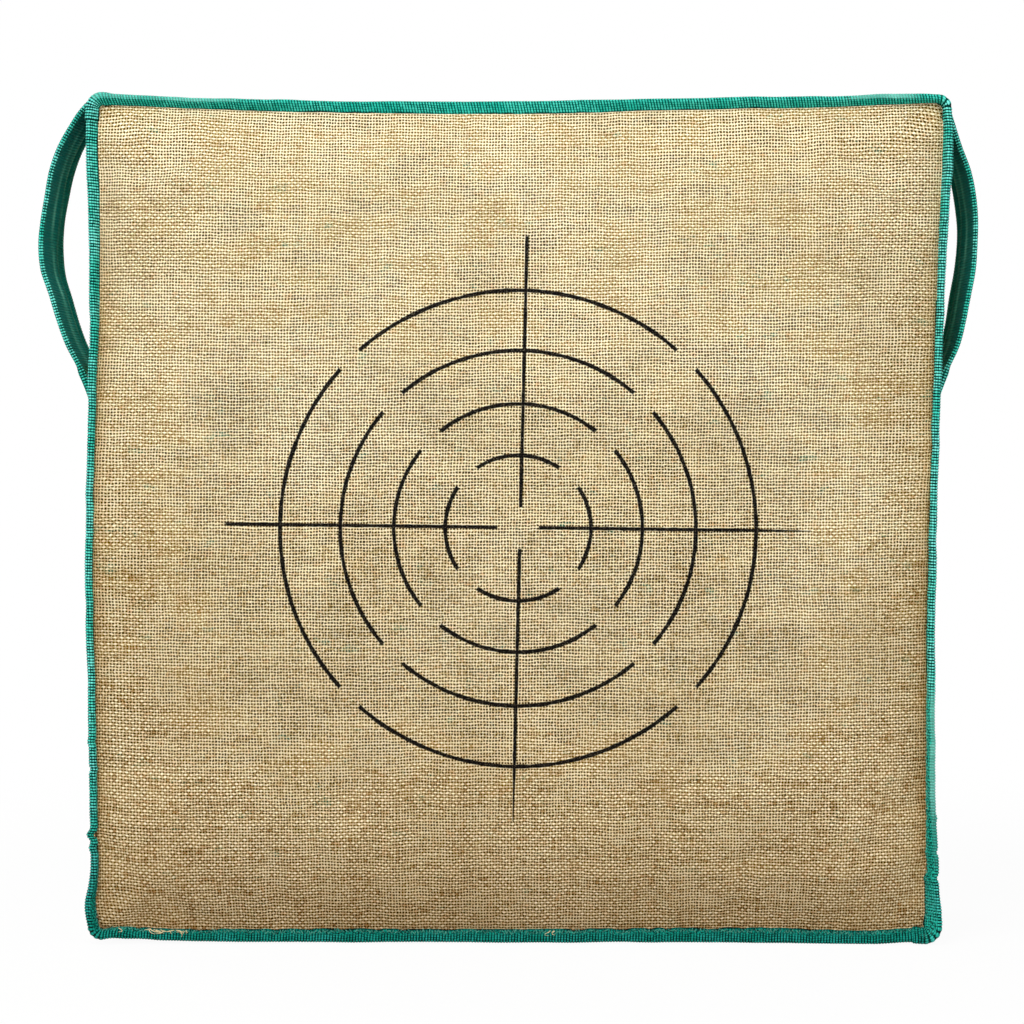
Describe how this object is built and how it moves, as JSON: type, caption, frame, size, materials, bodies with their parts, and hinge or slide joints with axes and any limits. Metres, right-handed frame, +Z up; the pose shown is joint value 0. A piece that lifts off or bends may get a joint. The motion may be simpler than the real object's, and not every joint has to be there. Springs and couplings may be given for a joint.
{
  "type": "archery target boss",
  "caption": "Square archery target boss: a hessian cover bound with ribbed tape round its edges, stacked soft stopping layers inside and a folded-tape carry handle on each side.",
  "frame": {"origin": "on the ground, under the middle of the bag's width and depth, on the flat of the bottom gusset", "axes": "+X to the viewer's right, +Y from the printed face to the back, +Z up"},
  "size_m": [0.6623, 0.1963, 0.5922],
  "materials": {
    "printed_hessian": "matte",
    "plain_hessian": "matte",
    "lining": "matte",
    "ribbed_tape": "matte",
    "core_foam": "matte"
  },
  "bodies": {
    "bag": {"face_panel": "printed_hessian", "face_liner": "lining", "back_panel": "plain_hessian", "back_liner": "lining", "top_gusset": "plain_hessian", "right_gusset": "plain_hessian", "bottom_gusset": "plain_hessian", "left_gusset": "plain_hessian", "front_binding_upper": "ribbed_tape", "front_binding_lower": "ribbed_tape", "rear_binding_upper": "ribbed_tape", "rear_binding_lower": "ribbed_tape", "core_layer_01": "core_foam", "core_layer_02": "core_foam", "core_layer_03": "core_foam", "core_layer_04": "core_foam", "core_layer_05": "core_foam", "core_layer_06": "core_foam", "core_layer_07": "core_foam", "core_layer_08": "core_foam", "core_layer_09": "core_foam", "core_layer_10": "core_foam", "core_layer_11": "core_foam", "core_layer_12": "core_foam", "core_layer_13": "core_foam", "core_layer_14": "core_foam", "core_layer_15": "core_foam", "core_layer_16": "core_foam", "left_handle_upper_end": "ribbed_tape", "left_handle_lower_end": "ribbed_tape", "right_handle_upper_end": "ribbed_tape", "right_handle_lower_end": "ribbed_tape"},
    "left_handle": {"left_handle_loop": "ribbed_tape"},
    "right_handle": {"right_handle_loop": "ribbed_tape"}
  },
  "joints": [
    {"name": "left_handle_swing", "type": "hinge", "parent": "bag", "child": "left_handle", "pos_m": [-0.2955, -0.045, 0.488], "axis": [0, 0, 1], "range_deg": [-25, 25]},
    {"name": "right_handle_swing", "type": "hinge", "parent": "bag", "child": "right_handle", "pos_m": [0.2996, -0.045, 0.48], "axis": [0, 0, 1], "range_deg": [-25, 25]}
  ]
}
